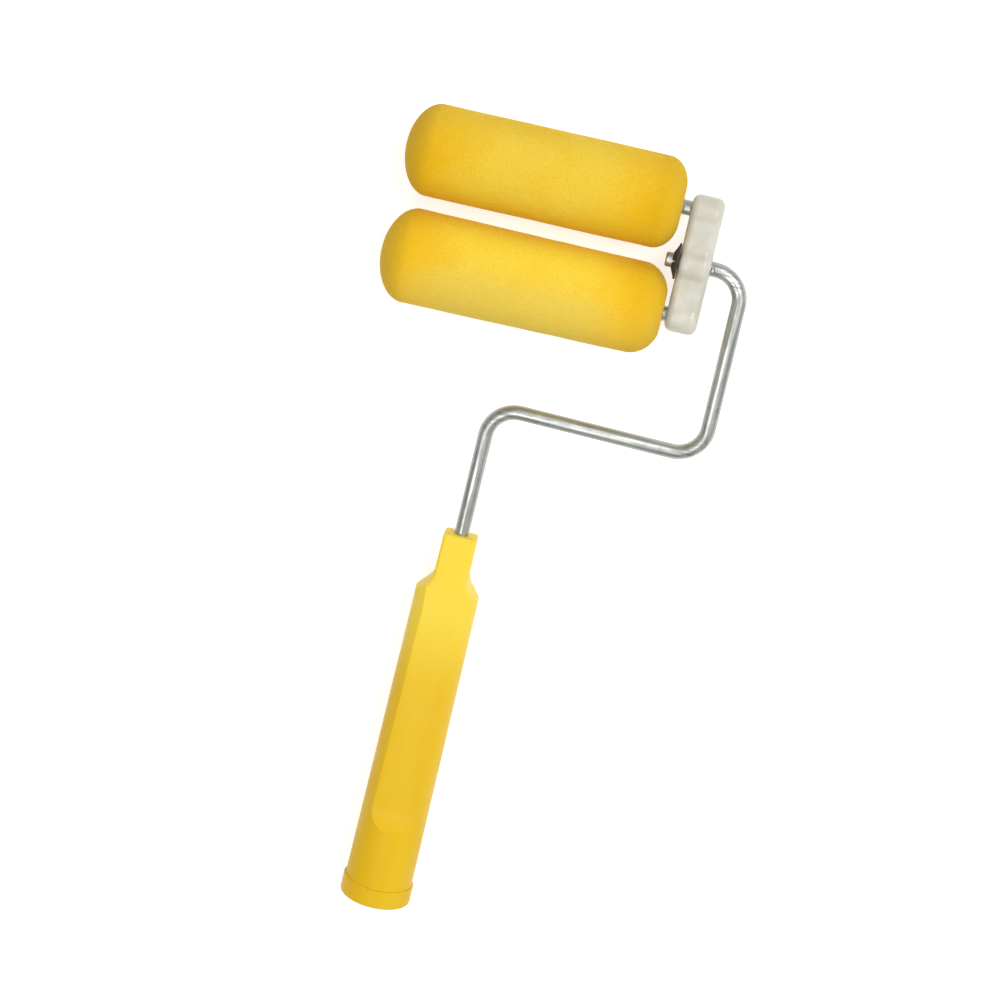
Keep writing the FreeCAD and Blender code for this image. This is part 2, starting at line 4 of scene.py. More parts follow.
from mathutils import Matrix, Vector


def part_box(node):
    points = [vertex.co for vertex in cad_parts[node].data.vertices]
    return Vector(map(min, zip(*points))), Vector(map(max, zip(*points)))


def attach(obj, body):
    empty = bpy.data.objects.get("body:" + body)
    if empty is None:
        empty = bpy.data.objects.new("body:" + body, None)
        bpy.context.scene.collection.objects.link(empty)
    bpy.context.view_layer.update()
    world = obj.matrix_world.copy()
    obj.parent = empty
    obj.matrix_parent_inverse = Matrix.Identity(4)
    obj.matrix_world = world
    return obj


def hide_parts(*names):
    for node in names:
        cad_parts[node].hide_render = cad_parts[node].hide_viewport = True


# %% [markdown]
# # A foam paint roller with its covers side by side
# A wire frame carries a small plastic rocker, and the rocker carries both foam covers, so
# that each of them stays on the wall when the hand tilts. The hard parts come from the
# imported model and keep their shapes. This lesson gives every one of them a real finish,
# makes the soft foam covers, and sets up a plain studio round the part. Lengths are in
# metres, +Z is up and the part lies on the floor at height zero.

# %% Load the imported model
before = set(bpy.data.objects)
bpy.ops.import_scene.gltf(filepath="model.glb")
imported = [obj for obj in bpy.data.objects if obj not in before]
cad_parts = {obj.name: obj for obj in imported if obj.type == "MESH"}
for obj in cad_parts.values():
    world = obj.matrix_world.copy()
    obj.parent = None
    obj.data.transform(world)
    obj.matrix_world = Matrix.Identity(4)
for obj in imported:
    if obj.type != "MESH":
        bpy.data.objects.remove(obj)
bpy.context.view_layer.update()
MM = 0.001

# %% [markdown]
# ## Camera
# The camera looks almost straight down from a metre away, turned a little so that the
# handle runs up and to the right. A long lens keeps the covers from looking stretched. It
# could also be aimed by a Track To constraint, but plain numbers keep it still.

# %% Camera
LENS, SENSOR_WIDTH = 88.456, 36.0
CAMERA_PLACE = (0.027985, 0.252659, 1.000318)
CAMERA_TURN = (-12.8516, 4.8355, 12.2867)

lens = bpy.data.cameras.new("studio_camera")
lens.lens = LENS
lens.sensor_width = SENSOR_WIDTH
camera = bpy.data.objects.new("studio_camera", lens)
bpy.context.scene.collection.objects.link(camera)
camera.location = CAMERA_PLACE
camera.rotation_euler = [math.radians(a) for a in CAMERA_TURN]
bpy.context.scene.camera = camera
print("camera at", [round(v, 3) for v in camera.location], "lens", round(lens.lens, 1))

# %% [markdown]
# ## Floor
# A pale floor fills the view, and glows a little so that it stays white between the lamps.
# A bigger lamp would whiten it too, but would wash out the part. It lies a quarter of a
# millimetre below height zero, because the roughened foam reaches a little lower than the
# plain solid. Every finish starts with the first helper below.

# %% Floor
FLOOR_SIZE = 8.0
FLOOR_HEIGHT = -0.25 * MM
FLOOR_GREY = (0.50, 0.50, 0.50)
FLOOR_ROUGHNESS, FLOOR_SHINE, FLOOR_GLOW = 0.7, 0.2, 0.68
WHITE = (1.0, 1.0, 1.0, 1.0)


def plain(name, colour, roughness, metallic=0.0):
    """A material with one colour, ready for more nodes; returns it and its shader."""
    material = bpy.data.materials.new(name)
    material.use_nodes = True
    shader = material.node_tree.nodes["Principled BSDF"]
    shader.inputs["Base Color"].default_value = (*colour, 1.0)
    shader.inputs["Roughness"].default_value = roughness
    shader.inputs["Metallic"].default_value = metallic
    return material, shader


def nothing_selected():
    """Leave nothing selected, so that the next operator acts on its own piece only."""
    if bpy.context.mode != "OBJECT":
        bpy.ops.object.mode_set(mode="OBJECT")
    bpy.ops.object.select_all(action="DESELECT")


nothing_selected()
bpy.ops.mesh.primitive_plane_add(size=FLOOR_SIZE, location=(0, 0, FLOOR_HEIGHT))
floor = bpy.context.object
floor.name = "studio_floor"
floor_paint, floor_shader = plain("pale_floor", FLOOR_GREY, FLOOR_ROUGHNESS)
floor_shader.inputs["Specular IOR Level"].default_value = FLOOR_SHINE
floor_shader.inputs["Emission Color"].default_value = WHITE
floor_shader.inputs["Emission Strength"].default_value = FLOOR_GLOW
floor.data.materials.append(floor_paint)
print("floor", FLOOR_SIZE, "m wide")

# %% [markdown]
# ## Light
# Soft panels light the part from above, and the key panel, the strongest, hangs beyond the
# covers, so that they are brighter than the end of the handle. The sky is a dull white,
# darker than the panels, so the wire reflects each panel as a bright line. The small front
# panel draws that line on the leg that leaves the handle. The Standard view keeps the
# yellows as pure as they are mixed below.

# %% Sky and light panels
SKY_COLOUR = (1.0, 0.995, 0.98, 1.0)
SKY_STRENGTH = 0.41
PANELS = {
    # name: (place, width, watts)
    "key_panel": ((0.50, 0.50, 1.05), 0.6, 8.7),
    "front_panel": ((-0.20, -0.27, 1.05), 0.25, 2.9),
    "side_panel": ((1.0, -0.1, 0.8), 0.6, 0.4),
    "fill_panel": ((-0.9, 0.1, 1.3), 1.2, 0.4),
}

scene = bpy.context.scene
scene.view_settings.view_transform = "Standard"
sky = bpy.data.worlds.new("studio_sky")
sky.use_nodes = True
sky.node_tree.nodes["Background"].inputs["Color"].default_value = SKY_COLOUR
sky.node_tree.nodes["Background"].inputs["Strength"].default_value = SKY_STRENGTH
scene.world = sky
for name, (place, width, watts) in PANELS.items():
    light = bpy.data.lights.new(name, "AREA")
    light.shape = "SQUARE"
    light.size = width
    light.energy = watts
    panel = bpy.data.objects.new(name, light)
    scene.collection.objects.link(panel)
    panel.location = place
    panel.rotation_euler = (-Vector(place)).to_track_quat("-Z", "Y").to_euler()
    print(name, "at", place, watts, "W")

# %% [markdown]
# One softer lamp adds a pool of light over the neck and the nearer cover, which fades out
# towards the collar. A spot with a wide source and a full blend has no edge to see.

# %% Pool of light
POOL_FROM, POOL_TO = Vector((0.24, 0.3, 0.95)), Vector((0.0, 0.04, 0.02))
POOL_WATTS, POOL_WIDTH, POOL_SOURCE = 3.9, math.radians(25), 0.15

pool_light = bpy.data.lights.new("pool_lamp", "SPOT")
pool_light.energy = POOL_WATTS
pool_light.spot_size = POOL_WIDTH
pool_light.spot_blend = 1.0
pool_light.shadow_soft_size = POOL_SOURCE
pool = bpy.data.objects.new("pool_lamp", pool_light)
scene.collection.objects.link(pool)
pool.location = POOL_FROM
pool.rotation_euler = (POOL_TO - POOL_FROM).to_track_quat("-Z", "Y").to_euler()
print("pool of light", POOL_WATTS, "W")

# %% [markdown]
# ## Foam covers: shape
# Each cover is a thick sleeve of fine yellow foam, ground to shape: one end closed in a
# shallow dome that meets the side in a soft edge, the other end rounded over towards the
# axle. Foam this firm does not drape, so a cloth simulation has nothing to add. A turned
# shape is drawn as half an outline and spun round the axle, with points close enough
# together that the skin can then be roughened for real.

# %% Outline of a cover
SKIN_STEP = 0.62 * MM
BORE_STEP = 8.0 * MM
LIP = 0.5 * MM


def oval_points(centre, along, out, start, end):
    """Points on a quarter oval of the outline, from one angle in degrees to another."""
    reach = abs(math.radians(end - start)) * max(along, out)
    count = int(reach / SKIN_STEP)
    angles = [math.radians(start + (end - start) * i / count) for i in range(count + 1)]
    return [(centre[0] + along * math.cos(a), centre[1] + out * math.sin(a)) for a in angles]


def line_points(start, end, step=SKIN_STEP):
    """Points along a straight stretch, without its first one."""
    count = max(int(math.dist(start, end) / step), 1)
    return [
        (
            start[0] + (end[0] - start[0]) * i / count,
            start[1] + (end[1] - start[1]) * i / count,
        )
        for i in range(1, count + 1)
    ]


def cover_outline(length, sides, dome, shoulder, bore, depth):
    """Half outline from the dome's top to the bottom of the bore, as (along, out) points."""
    dome_side, rocker_side = sides
    dome_along, dome_out = dome[0], dome_side * dome[1]
    kink = 180 - math.degrees(math.asin(1 / dome[1]))
    points = oval_points((dome_along, 0), dome_along, dome_out, 180, kink)
    lip_out = bore + LIP
    middle_out = rocker_side - shoulder[1]
    turn = math.degrees(math.asin((lip_out - middle_out) / shoulder[1]))
    start_along = length - shoulder[0] * math.cos(math.radians(turn))
    points += line_points(points[-1], (start_along, rocker_side))
    points += oval_points((start_along, middle_out), *shoulder, 90, turn)[1:]
    points += oval_points((points[-1][0] - LIP, lip_out), LIP, LIP, 0, -90)[1:]
    points += line_points(points[-1], (length - depth, bore), BORE_STEP)
    points += line_points(points[-1], (length - depth, 0), BORE_STEP / 4)
    print("outline of", len(points), "points, dome meets side at", round(kink), "degrees")
    return points


# %% [markdown]
# The outline is drawn by hand, in effect: a plane is merged to one point, the point is
# extruded along the outline, and the line is spun into a skin. A Screw modifier would do
# as well, and Spin is the same step by hand.

# %% Turn a piece
ROUND_STEPS = 188
MERGE_WITHIN = 0.01 * MM


def turned_piece(name, middle, outline, steps):
    """Spin an outline of (along +X, out) points about an axle through a middle point."""
    nothing_selected()
    start = middle + Vector((outline[0][0], 0, outline[0][1]))
    bpy.ops.mesh.primitive_plane_add(size=MM, location=start)
    piece = bpy.context.object
    piece.name = name
    bpy.ops.object.transform_apply(location=True, rotation=True, scale=True)
    bpy.ops.object.mode_set(mode="EDIT")
    bpy.ops.mesh.merge(type="CENTER")
    for (x0, r0), (x1, r1) in zip(outline, outline[1:]):
        bpy.ops.mesh.extrude_region_move(
            TRANSFORM_OT_translate={"value": (x1 - x0, 0, r1 - r0)}
        )
    bpy.ops.mesh.select_all(action="SELECT")
    bpy.ops.mesh.spin(steps=steps, angle=math.tau, center=middle, axis=(1, 0, 0))
    bpy.ops.mesh.select_all(action="SELECT")
    bpy.ops.mesh.remove_doubles(threshold=MERGE_WITHIN)
    bpy.ops.mesh.normals_make_consistent(inside=False)
    bpy.ops.object.mode_set(mode="OBJECT")
    bpy.ops.object.shade_smooth()
    print(name, "has", len(piece.data.polygons), "faces")
    return piece


# %% [markdown]
# Displace modifiers then roughen the skin for real, twice: with slow waves from the
# grinding, and with the open cells of the foam. Both are applied. Bump alone would leave
# the outline of the cover perfectly smooth.

# %% Roughen a piece


def roughen(piece, name, kind, size, depth, group):
    """Push the skin in and out by a noise of a given size and depth."""
    texture = bpy.data.textures.new(name, kind)
    texture.noise_scale = size
    push = piece.modifiers.new(name, "DISPLACE")
    push.texture = texture
    push.texture_coords = "LOCAL"
    push.strength = depth
    push.mid_level = 0.5
    push.vertex_group = group
    nothing_selected()
    piece.select_set(True)
    bpy.context.view_layer.objects.active = piece
    bpy.ops.object.modifier_apply(modifier=name)
    print(name, "pushes the skin by", round(depth / MM, 2), "mm")


# %% [markdown]
# Ground foam is never quite regular, so the covers are not twins: the far one is a little
# slimmer, and its shoulder is tighter. The bore is left smooth, because the core tube fills
# it. Both could be one mesh used twice, but then neither could differ.

# %% Both covers
CORE_RADIUS = 8.5 * MM
CORE_DEPTH = 98.0 * MM
GRINDING_SIZE, GRINDING_DEPTH = 16 * MM, 0.35 * MM
ROUGH_SIZE, ROUGH_DEPTH = 0.6 * MM, 0.1 * MM
COVER_SHAPES = {
    # in millimetres: change of radius at the dome and at the rocker end, length left off
    # there, the dome's height and how much wider than the cover its oval is, and the
    # shoulder's oval
    "far": ((-0.35, -0.45), 0.2, (12.2, 1.004), (9.5, 12.0)),
    "near": ((0.25, -0.4), -0.4, (12.8, 1.004), (12.0, 14.0)),
}
covers = {}
for side in ("far", "near"):
    low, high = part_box(f"{side}_foam_cover")
    axle = Vector((low.x, (low.y + high.y) / 2, (low.z + high.z) / 2))
    radius = (high.z - low.z) / 2
    flares, short, (dome_along, fullness), shoulder = COVER_SHAPES[side]
    outline = cover_outline(
        high.x - low.x - short * MM,
        [radius + flare * MM for flare in flares],
        (dome_along * MM, fullness),
        [size * MM for size in shoulder],
        CORE_RADIUS,
        CORE_DEPTH,
    )
    cover = turned_piece(f"{side}_foam", axle, outline, ROUND_STEPS)
    skin = cover.vertex_groups.new(name="skin")
    outer = [
        v.index
        for v in cover.data.vertices
        if math.hypot(v.co.y - axle.y, v.co.z - axle.z) > CORE_RADIUS + MM
        or v.co.x < axle.x + dome_along * MM / 2
    ]
    skin.add(outer, 1.0, "REPLACE")
    roughen(cover, f"{side}_grinding", "CLOUDS", GRINDING_SIZE, GRINDING_DEPTH, "skin")
    roughen(cover, f"{side}_cells", "CLOUDS", ROUGH_SIZE, ROUGH_DEPTH, "skin")
    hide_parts(f"{side}_foam_cover")
    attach(cover, f"{side}_roller")
    covers[side] = cover
    print(side, "cover", round((high.x - low.x) / MM, 1), "mm long")

# %% [markdown]
# ## Words for building finishes
# A finish here is a small net of nodes. Each one starts from the Object coordinates,
# which are metres on the part, so a grain is given by its real size. The helpers in the
# next cells only save typing. The first two add any node, and say where on the part a
# pattern is.

# %% Nodes and places


def add(tree, kind, inputs=None, **settings):
    """Add a node, set its properties, and set or link its inputs by name."""
    node = tree.nodes.new(kind)
    for key, value in settings.items():
        setattr(node, key, value)
    for key, value in (inputs or {}).items():
        if isinstance(value, bpy.types.NodeSocket):
            tree.links.new(value, node.inputs[key])
        else:
            node.inputs[key].default_value = value
    return node


def place_on_part(tree, middle=(0, 0, 0), stretch=(1, 1, 1)):
    """Object coordinates about a middle point, squeezed where a pattern runs long."""
    where = add(tree, "ShaderNodeTexCoord").outputs["Object"]
    moved = add(
        tree,
        "ShaderNodeVectorMath",
        {0: where, 1: tuple(middle)},
        operation="SUBTRACT",
    ).outputs[0]
    return add(tree, "ShaderNodeMapping", {"Vector": moved, "Scale": stretch}).outputs[0]


# %% [markdown]
# Two patterns do for all the finishes: soft noise for waves, dust and streaks, and cells
# for pores and specks. Each gives a value, which is then stretched to the range it is
# wanted in, or added to another.

# %% Patterns and arithmetic


def cloud(tree, where, size, detail=2.0, rough=0.5):
    """Soft noise with lumps of a given size in metres, as a value from 0 to 1."""
    inputs = {"Vector": where, "Scale": 1 / size, "Detail": detail, "Roughness": rough}
    return add(tree, "ShaderNodeTexNoise", inputs).outputs["Fac"]


def pores(tree, where, size):
    """Distance from the middle of the nearest cell, for cells of a given size."""
    inputs = {"Vector": where, "Scale": 1 / size}
    return add(tree, "ShaderNodeTexVoronoi", inputs).outputs["Distance"]


def spread(tree, value, low, high, to_low=0.0, to_high=1.0):
    """Stretch a value from one range to another, with soft ends."""
    inputs = {
        "Value": value,
        "From Min": low,
        "From Max": high,
        "To Min": to_low,
        "To Max": to_high,
    }
    node = add(tree, "ShaderNodeMapRange", inputs, interpolation_type="SMOOTHSTEP")
    return node.outputs["Result"]


def sum_of(tree, operation, first, second=0.0):
    """One step of arithmetic on sockets or numbers."""
    return add(tree, "ShaderNodeMath", {0: first, 1: second}, operation=operation).outputs[0]


# %% [markdown]
# A value can mix two colours, or raise and sink the skin as bump. Bump can be laid over
# bump, so a fine grain rides on slow waves. A finished material then goes to the packed
# nodes that wear it.

# %% Mixing, relief and dressing


def blend_colours(tree, amount, first, second):
    """Mix of two colours, each a socket or a plain colour."""
    node = add(tree, "ShaderNodeMix", data_type="RGBA")
    for socket, value in (("Factor", amount), ("A", first), ("B", second)):
        kind = "RGBA" if socket != "Factor" else "VALUE"
        target = next(s for s in node.inputs if s.name == socket and s.type == kind)
        if isinstance(value, bpy.types.NodeSocket):
            tree.links.new(value, target)
        else:
            target.default_value = (*value, 1.0) if kind == "RGBA" else value
    return next(s for s in node.outputs if s.type == "RGBA")


def relief(tree, shader, height, depth, strength=1.0, under=None):
    """Bump of a given depth in metres, laid over another bump if there is one."""
    inputs = {"Height": height, "Distance": depth, "Strength": strength}
    if under is not None:
        inputs["Normal"] = under
    normal = add(tree, "ShaderNodeBump", inputs).outputs["Normal"]
    tree.links.new(normal, shader.inputs["Normal"])
    return normal


def dress(names, material):
    """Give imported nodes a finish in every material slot."""
    for name in names:
        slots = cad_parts[name].material_slots
        for each in slots:
            each.material = material
        print(name, "wears", material.name)


# %% [markdown]
# ## Foam covers: finish
# Open-cell foam is dull and full of tiny dark pores, with a faint bloom of light in its
# fuzz. Near both ends the yellow is painted towards orange and the very ends darker: this is
# painted shade, where the ends curve away from the light. These bands are measured along the
# axle from each end, and broken up by slow noise, because a clean ring would look stencilled.
# A ring painted by hand would need its own map on every cover.

# %% Foam colours
FOAM_YELLOW = (0.89, 0.59, 0.038)
FOAM_PALE = (0.91, 0.64, 0.060)
FOAM_PORE = (0.66, 0.38, 0.02)
FOAM_PAINTED_ORANGE = (0.87, 0.49, 0.004)
FOAM_PAINTED_DARK_END = (0.69, 0.40, 0.006)
FOAM_PAINTED_LIGHT_LEMON = (0.98, 0.72, 0.05)
FOAM_PAINTED_FLOOR_REFLECTION = (0.82, 0.60, 0.085)
WAVE_SIZE, PATCH_SIZE = 22 * MM, 7 * MM
CELL_SIZE, DUST_SIZE = 0.5 * MM, 0.4 * MM
BAND_WANDER = 9 * MM
# where a value starts and stops changing, then what it is before and after
BAND_RISE = (0 * MM, 10 * MM, 0.15, 1.0)
BAND_FALL = (12 * MM, 34 * MM, 1.0, 0.0)
BAND_BREAKS = (0.25, 0.6, 0.8, 1.0)
ENDS_PAINTED_DARKER = (4 * MM, 18 * MM, 0.62, 0.0)
PITS = (0.15, 0.5, 0.0, 0.38)
SHEEN_TINT = (1.0, 0.92, 0.65, 1.0)
print("packed bands reach", round(BAND_FALL[1] / MM), "mm from each end")

# %% [markdown]
# The finish is built from the inside out: yellow with pale waves, the tints of painted light,
# the bands of painted orange shade, the painted dark ends, and the pores over all of them.
# The pores also dent the skin, and a finer dust over them keeps the dents from looking
# stamped.

# %% Foam finish


def foam_finish(name, middle, length, tone, orange_shade_across, light_tints):
    """Foam for one cover, turning towards each painted-light tint over a part of its width.
    """
    material, shader = plain(name, FOAM_YELLOW, roughness=0.95)
    tree = material.node_tree
    where = place_on_part(tree, middle)
    axes = add(tree, "ShaderNodeSeparateXYZ", {"Vector": where}).outputs
    waves = cloud(tree, where, WAVE_SIZE, detail=3.0)
    patches = cloud(tree, where, PATCH_SIZE, detail=3.0, rough=0.6)
    from_end = sum_of(tree, "SUBTRACT", length, axes["X"])
    nearest = sum_of(tree, "MINIMUM", axes["X"], from_end)
    drift = sum_of(tree, "MULTIPLY", sum_of(tree, "SUBTRACT", waves, 0.5), BAND_WANDER)
    shifted = sum_of(tree, "ADD", nearest, drift)
    # painted shade: orange bands near both ends, their strength changing across the cover
    painted_orange_shade = spread(tree, shifted, *BAND_RISE)
    for each in (
        spread(tree, shifted, *BAND_FALL),
        spread(tree, axes["Y"], *orange_shade_across),
        spread(tree, patches, *BAND_BREAKS),
    ):
        painted_orange_shade = sum_of(tree, "MULTIPLY", painted_orange_shade, each)
    yellow, pale, pore, orange, dark = [
        tuple(tone * part for part in colour)
        for colour in (FOAM_YELLOW, FOAM_PALE, FOAM_PORE, FOAM_PAINTED_ORANGE, FOAM_PAINTED_DARK_END)
    ]
    body = blend_colours(tree, spread(tree, waves, low=0.35, high=0.7), yellow, pale)
    for light_tint, change in light_tints:
        toned = tuple(tone * part for part in light_tint)
        body = blend_colours(tree, spread(tree, axes["Y"], *change), body, toned)
    body = blend_colours(tree, painted_orange_shade, body, orange)
    # painted shade: the very ends darker, where they curve away from the light
    body = blend_colours(tree, spread(tree, nearest, *ENDS_PAINTED_DARKER), body, dark)
    cells = pores(tree, where, CELL_SIZE)
    dust = cloud(tree, where, DUST_SIZE, rough=0.7)
    pits = spread(tree, sum_of(tree, "MULTIPLY", cells, dust), *PITS)
    colour = blend_colours(tree, pits, body, pore)
    tree.links.new(colour, shader.inputs["Base Color"])
    shader.inputs["Specular IOR Level"].default_value = 0.15
    shader.inputs["Sheen Weight"].default_value = 0.04
    shader.inputs["Sheen Roughness"].default_value = 0.6
    shader.inputs["Sheen Tint"].default_value = SHEEN_TINT
    under = relief(tree, shader, cells, depth=-0.25 * MM, strength=0.7)
    relief(tree, shader, dust, depth=0.15 * MM, strength=0.6, under=under)
    return material


# %% [markdown]
# The covers are not one yellow all round, and these tints are painted light. The far one is
# orange on the side that faces its twin: partly painted light bounced from the near cover,
# partly foam pressed against it. The near one is a lighter lemon on the side that faces the
# far one, painted light where the far cover shades it, and chalky on the other, a painted
# reflection of the pale floor. Each tint has its own stretch across the cover, so a new one
# is one more line.

# %% Dress the covers
FOAM_LOOKS = {
    # tone, how the strength of the painted orange shade bands changes along Y, and each tint
    # of painted light with how its strength changes along Y
    "far": (
        0.905,
        (-5 * MM, 17 * MM, 1.0, 0.45),
        # partly painted light bounced from the near cover, partly foam pressed against it
        [(FOAM_PAINTED_ORANGE, (-18 * MM, -7 * MM, 0.85, 0.0))],
    ),
    "near": (
        0.965,
        (-14 * MM, 6 * MM, 0.5, 0.8),
        [
            # painted light: lighter where the far cover shades the near one
            (FOAM_PAINTED_LIGHT_LEMON, (4 * MM, 15 * MM, 0.0, 0.9)),
            # painted reflection of the pale floor, on the side away from the far cover
            (FOAM_PAINTED_FLOOR_REFLECTION, (-3 * MM, 6 * MM, 0.85, 0.0)),
        ],
    ),
}
for side, cover in covers.items():
    low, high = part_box(f"{side}_foam_cover")
    start = (low.x, (low.y + high.y) / 2, (low.z + high.z) / 2)
    foam = foam_finish(f"{side}_foam_skin", start, high.x - low.x, *FOAM_LOOKS[side])
    cover.data.materials.append(foam)
    print(cover.name, "is dressed")

# %% [markdown]
# ## Handle: finish
# The handle is moulded in one soft yellow plastic. Its skin is smooth but not polished:
# slow ripples where the plastic shrank, a fine leathery grain from the mould, and faint
# streaks along the way the plastic flowed. Towards the neck the yellow turns a little to a
# lighter lemon: painted light, where the lamps fall brightest. The collar comes from the same
# batch.

# %% Handle plastic
HANDLE_YELLOW = (0.74, 0.455, 0.010)
HANDLE_PALE = (0.77, 0.495, 0.018)
HANDLE_PAINTED_NECK_LIGHT = (0.85, 0.62, 0.05)
NECK_LIGHT_BEGINS, NECK_LIGHT_FULL = -76 * MM, -30 * MM
FLOW_STRETCH = (1.0, 0.12, 1.0)
HANDLE_SCATTER = (1.0, 0.6, 0.1)


def handle_finish():
    """Moulded yellow plastic with shrink ripples, mould grain, flow streaks and painted
    light.
    """
    material, shader = plain("handle_yellow_plastic", HANDLE_YELLOW, roughness=0.38)
    tree = material.node_tree
    where = place_on_part(tree)
    flow = cloud(tree, place_on_part(tree, stretch=FLOW_STRETCH), size=11 * MM, detail=3.0)
    amount = spread(tree, flow, low=0.3, high=0.7)
    colour = blend_colours(tree, amount, HANDLE_YELLOW, HANDLE_PALE)
    along = add(tree, "ShaderNodeSeparateXYZ", {"Vector": where}).outputs["Y"]
    # painted light: lighter lemon towards the neck, fading towards the collar
    painted_neck_light = spread(tree, along, NECK_LIGHT_BEGINS, NECK_LIGHT_FULL)
    colour = blend_colours(tree, painted_neck_light, colour, HANDLE_PAINTED_NECK_LIGHT)
    tree.links.new(colour, shader.inputs["Base Color"])
    ripples = cloud(tree, where, size=14 * MM)
    grain = cloud(tree, where, size=0.5 * MM, rough=0.6)
    gloss = spread(tree, ripples, low=0.3, high=0.7, to_low=0.34, to_high=0.46)
    tree.links.new(gloss, shader.inputs["Roughness"])
    under = relief(tree, shader, ripples, depth=0.5 * MM, strength=0.5)
    relief(tree, shader, grain, depth=0.03 * MM, strength=0.5, under=under)
    shader.inputs["Specular IOR Level"].default_value = 0.14
    shader.inputs["Subsurface Weight"].default_value = 0.08
    shader.inputs["Subsurface Radius"].default_value = HANDLE_SCATTER
    shader.inputs["Subsurface Scale"].default_value = 2 * MM
    return material


dress(["handle_grip", "handle_end_cap"], handle_finish())

# %% [markdown]
# ## Rocker: finish
# The rocker is unpigmented plastic: milky, a little grey, and bright where it is thin. It
# lets light in and scatters it, which Subsurface does without the noise of real glass. Its
# faces keep the soft swirls and the shallow ripples that the mould leaves.

# %% Rocker plastic
ROCKER_MILK = (0.63, 0.62, 0.545)
ROCKER_CLEAR = (0.56, 0.545, 0.465)
ROCKER_SCATTER = (1.0, 0.95, 0.8)


def rocker_finish():
    """Milky plastic with swirls inside and a soft shine."""
    material, shader = plain("rocker_milky_plastic", ROCKER_MILK, roughness=0.33)
    tree = material.node_tree
    where = place_on_part(tree)
    swirl = cloud(tree, where, size=9 * MM, detail=4.0, rough=0.55)
    amount = spread(tree, swirl, low=0.35, high=0.65)
    colour = blend_colours(tree, amount, ROCKER_MILK, ROCKER_CLEAR)
    tree.links.new(colour, shader.inputs["Base Color"])
    grain = cloud(tree, where, size=0.9 * MM)
    ripples = cloud(tree, where, size=5 * MM)
    under = relief(tree, shader, ripples, depth=0.35 * MM, strength=0.5)
    relief(tree, shader, grain, depth=0.03 * MM, strength=0.5, under=under)
    shader.inputs["Subsurface Weight"].default_value = 0.5
    shader.inputs["Subsurface Radius"].default_value = ROCKER_SCATTER
    shader.inputs["Subsurface Scale"].default_value = 2.5 * MM
    return material


dress(["rocker_bar"], rocker_finish())

# %% [markdown]
# ## Wire and axles: finish
# Zinc plated wire shines, but it was drawn through a die, so its gloss is pulled into
# streaks along its length. The wire turns corners, and Object coordinates do not, so
# streaks along Y dress the legs and streaks along X dress the cross run and the stub, with
# a soft change between them inside the bends. The axles all run along X. The crown of the
# wire is bright and the sides are an even grey, painted shade where the real wire reflects
# dim surroundings, so the finish also needs to know how far above the wire's own axis a
# point is.

# %% Zinc colours and places
ZINC_BRIGHT = (0.62, 0.635, 0.60)
ZINC_DULL = (0.30, 0.31, 0.295)
ZINC_PAINTED_SIDE_SHADE = (0.42, 0.425, 0.405)
WIRE_RADIUS = 3 * MM
STREAK = 0.035
# where a value starts and stops changing
WEAR, CROWN_OVER_SIDE_SHADE = (0.48, 0.78), (1.2 * MM, 2.7 * MM)
rod_low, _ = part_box("frame_rod")
pivot = sum(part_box("rocker_bar"), Vector()) / 2
streaks_along = {"x": (STREAK, 1.0, 1.0), "y": (1.0, STREAK, 1.0)}
print("pivot at", [round(v, 3) for v in pivot])

# %% [markdown]
# Zinc wears by scuffs along the streaks. Where the two sets of streaks meet, their values
# are mixed and not their colours, so that bump, gloss and colour change together.

# %% Zinc plating


def axis_level(tree, where):
    """Height of the wire's own axis, which climbs from the handle to the pivot."""
    y = add(tree, "ShaderNodeSeparateXYZ", {"Vector": where}).outputs["Y"]
    inputs = {
        "Value": y,
        "From Min": rod_low.y,
        "From Max": pivot.y,
        "To Min": rod_low.z + WIRE_RADIUS,
        "To Max": pivot.z,
    }
    return add(tree, "ShaderNodeMapRange", inputs).outputs["Result"]


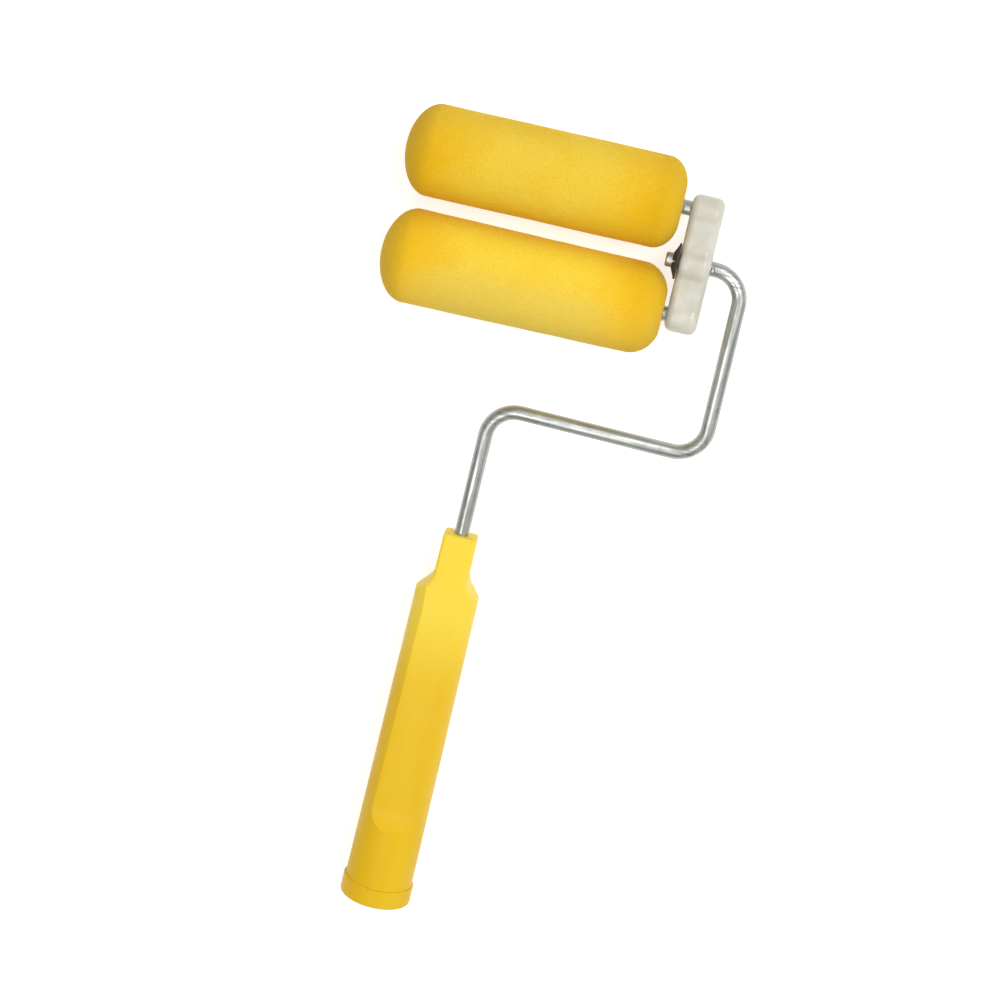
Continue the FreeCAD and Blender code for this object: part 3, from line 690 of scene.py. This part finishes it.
def zinc_finish(name, cross_bands):
    """Drawn zinc wire; cross_bands are the (middle, half width) of runs along X."""
    material, shader = plain(name, ZINC_BRIGHT, roughness=0.3, metallic=1.0)
    tree = material.node_tree
    where = place_on_part(tree)
    lines = {
        way: cloud(tree, place_on_part(tree, stretch=pull), 1.2 * MM, detail=4.0, rough=0.6)
        for way, pull in streaks_along.items()
    }
    drawn = lines["x"]
    if cross_bands:
        y = add(tree, "ShaderNodeSeparateXYZ", {"Vector": where}).outputs["Y"]
        across = 0.0
        for middle, half in cross_bands:
            off = sum_of(tree, "ABSOLUTE", sum_of(tree, "SUBTRACT", y, middle))
            band = spread(tree, off, half, 2 * half, to_low=1.0, to_high=0.0)
            across = sum_of(tree, "MAXIMUM", band, across)
        amount, first, second = 0, 2, 3  # the Mix node's sockets for plain numbers
        mixed = {amount: across, first: lines["y"], second: lines["x"]}
        drawn = add(tree, "ShaderNodeMix", mixed, data_type="FLOAT").outputs[0]
    bloom = cloud(tree, where, size=5 * MM, detail=4.0, rough=0.6)
    height = add(tree, "ShaderNodeSeparateXYZ", {"Vector": where}).outputs["Z"]
    above = sum_of(tree, "SUBTRACT", height, axis_level(tree, where))
    crown_over_side_shade = spread(tree, above, *CROWN_OVER_SIDE_SHADE)
    spots = pores(tree, where, size=1.3 * MM)
    specks = spread(tree, spots, low=0.05, high=0.16, to_low=0.6, to_high=0.0)
    wear = sum_of(tree, "ADD", drawn, sum_of(tree, "MULTIPLY", bloom, 0.25))
    colour = blend_colours(tree, spread(tree, wear, *WEAR), ZINC_DULL, ZINC_BRIGHT)
    colour = blend_colours(tree, specks, colour, ZINC_DULL)
    # painted shade: below the crown the sides of the wire are an even darker grey
    colour = blend_colours(tree, crown_over_side_shade, ZINC_PAINTED_SIDE_SHADE, colour)
    tree.links.new(colour, shader.inputs["Base Color"])
    gloss = spread(tree, wear, *WEAR, to_low=0.48, to_high=0.36)
    tree.links.new(gloss, shader.inputs["Roughness"])
    under = relief(tree, shader, drawn, depth=0.05 * MM, strength=0.55)
    relief(tree, shader, bloom, depth=0.08 * MM, strength=0.3, under=under)
    return material


# %% Dress the wire and the axles
RUN_DROP = 76 * MM
BAND_HALF = 4.5 * MM
cross_runs = [(pivot.y, BAND_HALF), (pivot.y - RUN_DROP, BAND_HALF)]
dress(["frame_rod"], zinc_finish("drawn_zinc_wire", cross_runs))
dress(["far_axle", "near_axle"], zinc_finish("drawn_zinc_axle", []))

# %% [markdown]
# ## Small parts: finish
# The push nut is blued spring steel, nearly black and only a little shiny. The washer and
# the clips are bare steel, scratched by turning. The core tubes, bushes and plugs hide in
# the foam, but they are dressed too, since a cover may be taken off one day.

# %% Small parts


def small_part_finish(name, colour, worn, roughness, metallic, size, depth):
    """A colour with worn patches and a fine grain of a given size and depth."""
    material, shader = plain(name, colour, roughness, metallic)
    tree = material.node_tree
    where = place_on_part(tree)
    patches = cloud(tree, where, 6 * size, detail=4.0, rough=0.65)
    grain = cloud(tree, where, size, detail=3.0, rough=0.6)
    amount = spread(tree, patches, low=0.42, high=0.72)
    tree.links.new(blend_colours(tree, amount, colour, worn), shader.inputs["Base Color"])
    duller, shinier = roughness + 0.1, roughness - 0.08
    gloss = spread(tree, grain, low=0.3, high=0.7, to_low=shinier, to_high=duller)
    tree.links.new(gloss, shader.inputs["Roughness"])
    relief(tree, shader, grain, depth, strength=0.6)
    return material


SMALL_PARTS = {
    # the nodes, then colour, worn colour, roughness, metallic, and the grain's size and depth
    "blued_spring_steel": (
        ["pivot_push_nut"],
        ((0.030, 0.021, 0.013), (0.075, 0.055, 0.036), 0.6, 0.2, 0.5 * MM, 0.05 * MM),
    ),
    "turned_washer_steel": (
        ["pivot_thrust_washer", "far_axle_clip", "near_axle_clip"],
        ((0.52, 0.53, 0.54), (0.66, 0.66, 0.65), 0.34, 1.0, 0.4 * MM, 0.02 * MM),
    ),
    "grey_core_plastic": (
        ["far_core_tube", "near_core_tube", "far_core_plug", "near_core_plug"],
        ((0.55, 0.55, 0.53), (0.62, 0.62, 0.60), 0.5, 0.0, 0.6 * MM, 0.03 * MM),
    ),
    "waxy_bush_plastic": (
        [f"{side}_{end}_bush" for side in ("far", "near") for end in ("inner", "outer")],
        ((0.72, 0.71, 0.66), (0.80, 0.79, 0.74), 0.42, 0.0, 0.5 * MM, 0.02 * MM),
    ),
}
for name, (nodes, look) in SMALL_PARTS.items():
    dress(nodes, small_part_finish(name, *look))
